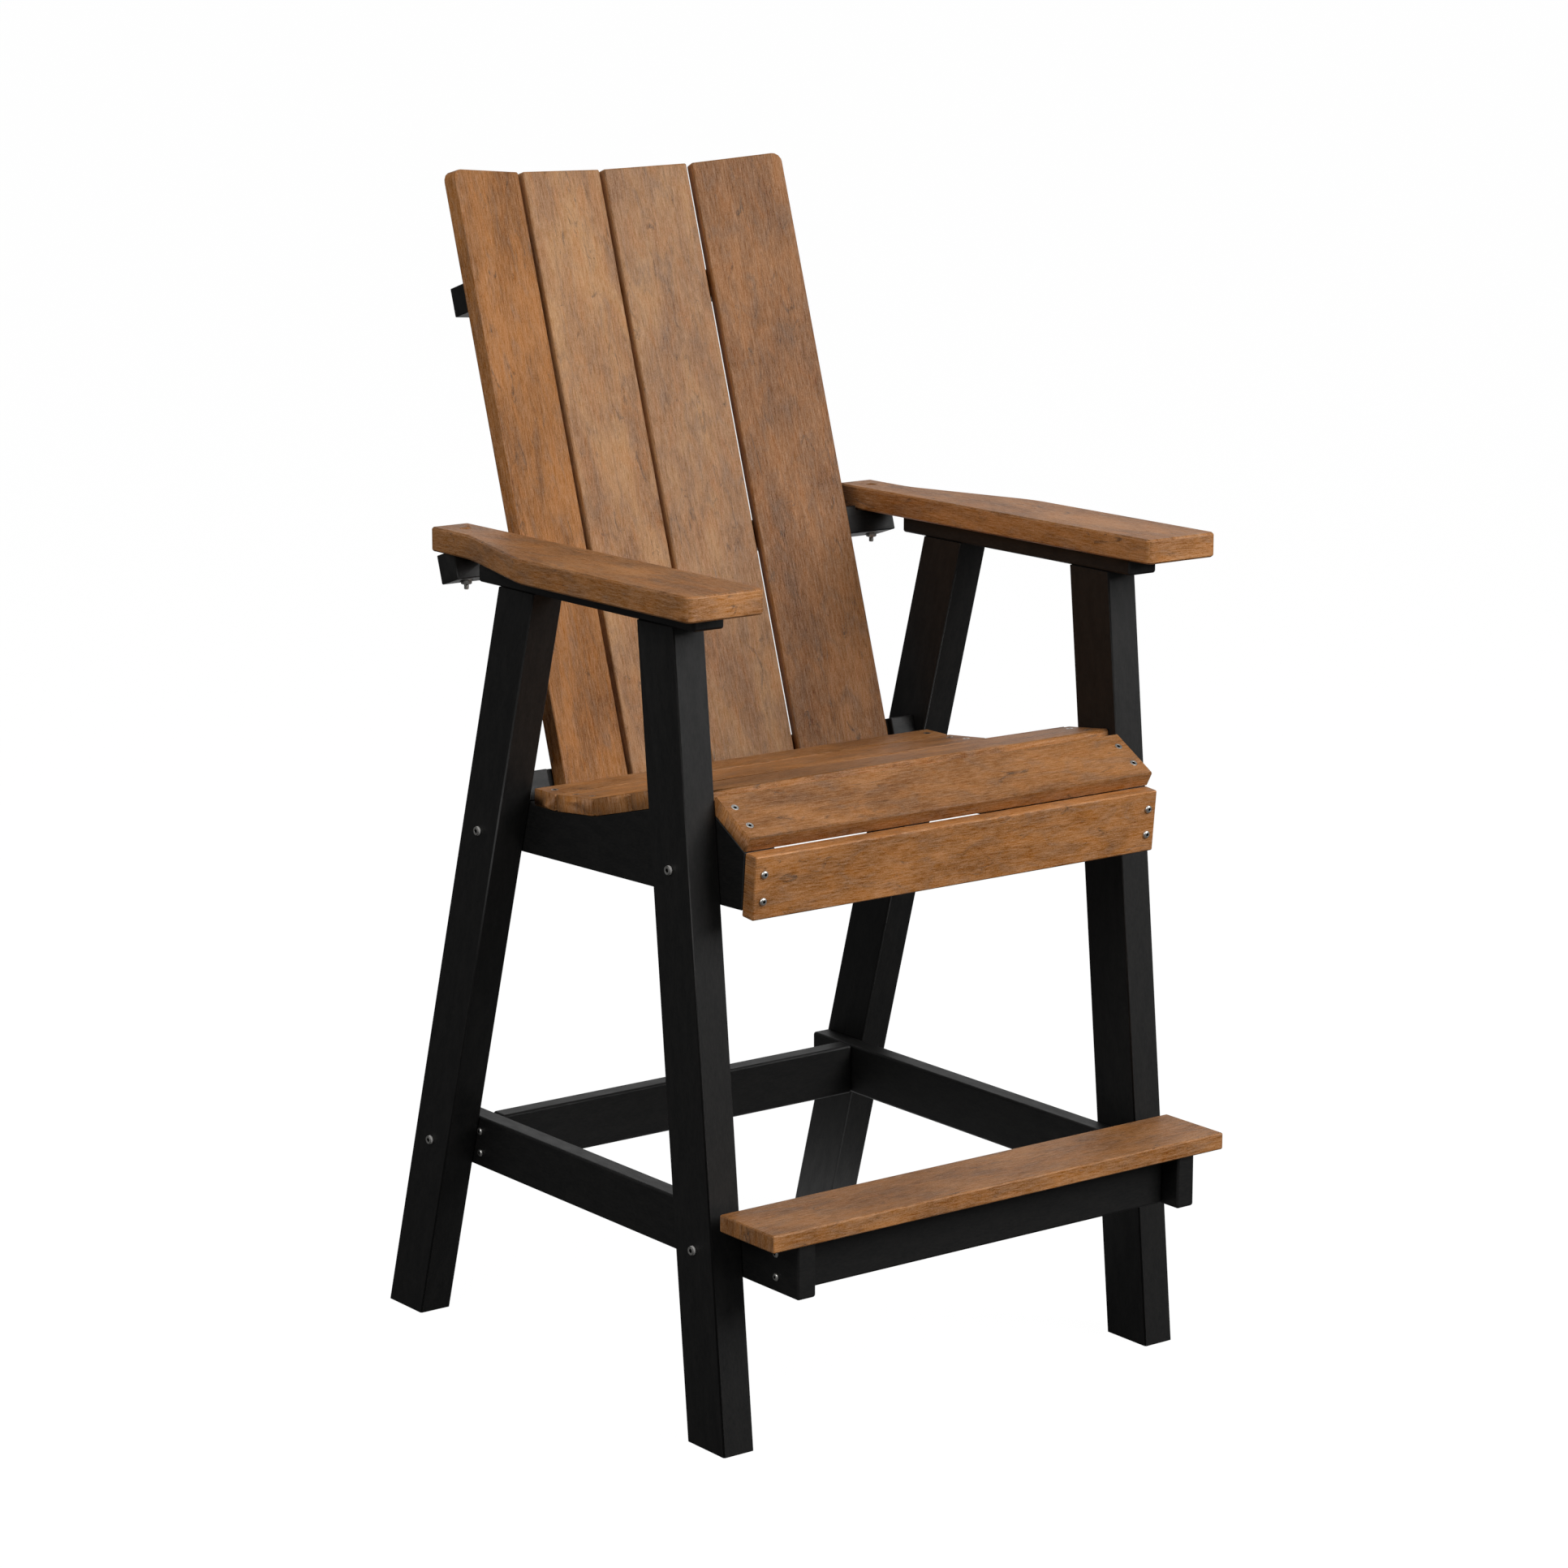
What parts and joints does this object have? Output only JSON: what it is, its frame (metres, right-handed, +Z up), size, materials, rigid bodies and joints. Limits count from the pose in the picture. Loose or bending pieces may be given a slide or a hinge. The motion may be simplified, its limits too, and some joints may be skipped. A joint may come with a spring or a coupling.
{
  "type": "bar chair",
  "caption": "Bar-height slatted armchair of plastic lumber boards, with a dished seat, a high hollow back, flat arms, leaning legs and a footrest.",
  "frame": {"origin": "on the floor under the middle of the whole chair", "axes": "+X to the right as the chair is seen from the front, +Y to the back, +Z up"},
  "size_m": [0.75, 0.7975, 1.3692],
  "materials": {
    "brown_board": "brown wood-grained plastic lumber, satin",
    "black_board": "black plastic lumber, satin",
    "steel": "plain stainless steel"
  },
  "bodies": {
    "root": {"apron": "brown_board", "apron_screw_lower_left": "steel", "apron_screw_lower_right": "steel", "apron_screw_upper_left": "steel", "apron_screw_upper_right": "steel", "arm_bolt_left": "steel", "arm_bolt_right": "steel", "arm_left": "brown_board", "arm_nut_left": "steel", "arm_nut_right": "steel", "arm_rail_left": "black_board", "arm_rail_right": "black_board", "arm_right": "brown_board", "arm_washer_left": "steel", "arm_washer_right": "steel", "back_rail_lower": "black_board", "back_rail_mid": "black_board", "back_rail_upper": "black_board", "back_slat_inner_left": "brown_board", "back_slat_inner_right": "brown_board", "back_slat_outer_left": "brown_board", "back_slat_outer_right": "brown_board", "footrest_rail": "black_board", "footrest_rail_screw_lower_left": "steel", "footrest_rail_screw_lower_right": "steel", "footrest_rail_screw_upper_left": "steel", "footrest_rail_screw_upper_right": "steel", "footrest_slat": "brown_board", "leg_front_left": "black_board", "leg_front_right": "black_board", "leg_rear_left": "black_board", "leg_rear_right": "black_board", "nose_screw_lower_left": "steel", "nose_screw_lower_right": "steel", "nose_screw_upper_left": "steel", "nose_screw_upper_right": "steel", "seat_rail_bolt_front_left": "steel", "seat_rail_bolt_front_right": "steel", "seat_rail_bolt_rear_left": "steel", "seat_rail_bolt_rear_right": "steel", "seat_rail_left": "black_board", "seat_rail_right": "black_board", "seat_slat_fourth": "brown_board", "seat_slat_front": "brown_board", "seat_slat_nose": "brown_board", "seat_slat_rear": "brown_board", "seat_slat_second": "brown_board", "seat_slat_third": "brown_board", "stretcher_bolt_front_left": "steel", "stretcher_bolt_front_right": "steel", "stretcher_bolt_rear_left": "steel", "stretcher_bolt_rear_right": "steel", "stretcher_left": "black_board", "stretcher_rear": "black_board", "stretcher_rear_screw_lower_left": "steel", "stretcher_rear_screw_lower_right": "steel", "stretcher_rear_screw_upper_left": "steel", "stretcher_rear_screw_upper_right": "steel", "stretcher_right": "black_board"}
  },
  "joints": []
}
